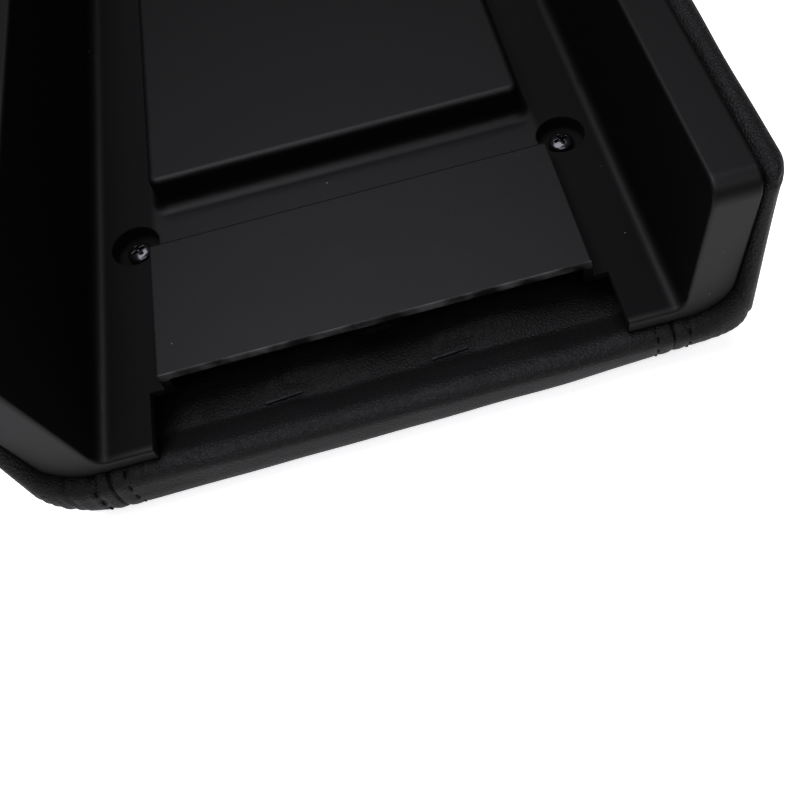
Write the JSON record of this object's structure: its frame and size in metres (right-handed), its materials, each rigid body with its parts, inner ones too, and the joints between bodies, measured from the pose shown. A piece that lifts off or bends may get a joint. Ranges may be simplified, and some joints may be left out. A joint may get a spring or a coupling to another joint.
{
  "type": "center console lid",
  "caption": "Padded leather center console lid lying upside down, with a moulded tray liner, hinge pocket and push latch.",
  "frame": {"origin": "centre of the lid's outline at the level of the padded top that it lies on", "axes": "+X across the lid, +Y from the hinge end to the latch end, +Z out of the lid's underside"},
  "size_m": [0.2048, 0.32, 0.082],
  "materials": {
    "leather": "grained black leather",
    "foam": "moulded open-cell foam",
    "core_plastic": "plain moulded black",
    "liner_plastic": "fine-grained moulded black",
    "screw_steel": "black oxide steel",
    "staple_steel": "galvanised wire",
    "latch_plastic": "satin moulded black",
    "spring_steel": "drawn spring wire"
  },
  "bodies": {
    "lid": {"cover_top_panel": "leather", "cover_side_left": "leather", "cover_side_right": "leather", "foam_pad": "foam", "core_shell": "core_plastic", "liner": "liner_plastic", "liner_screws": "screw_steel", "staples": "staple_steel", "latch_bezel": "latch_plastic", "latch_spring": "spring_steel"},
    "latch": {"latch_slider": "latch_plastic"}
  },
  "joints": [
    {"name": "latch_push", "type": "slide", "parent": "lid", "child": "latch", "axis": [0, -1, 0], "range_m": [0, 0.0045], "stiffness_N_per_m": 600, "springref_m": -0.002, "deforming": ["latch_spring"]}
  ]
}
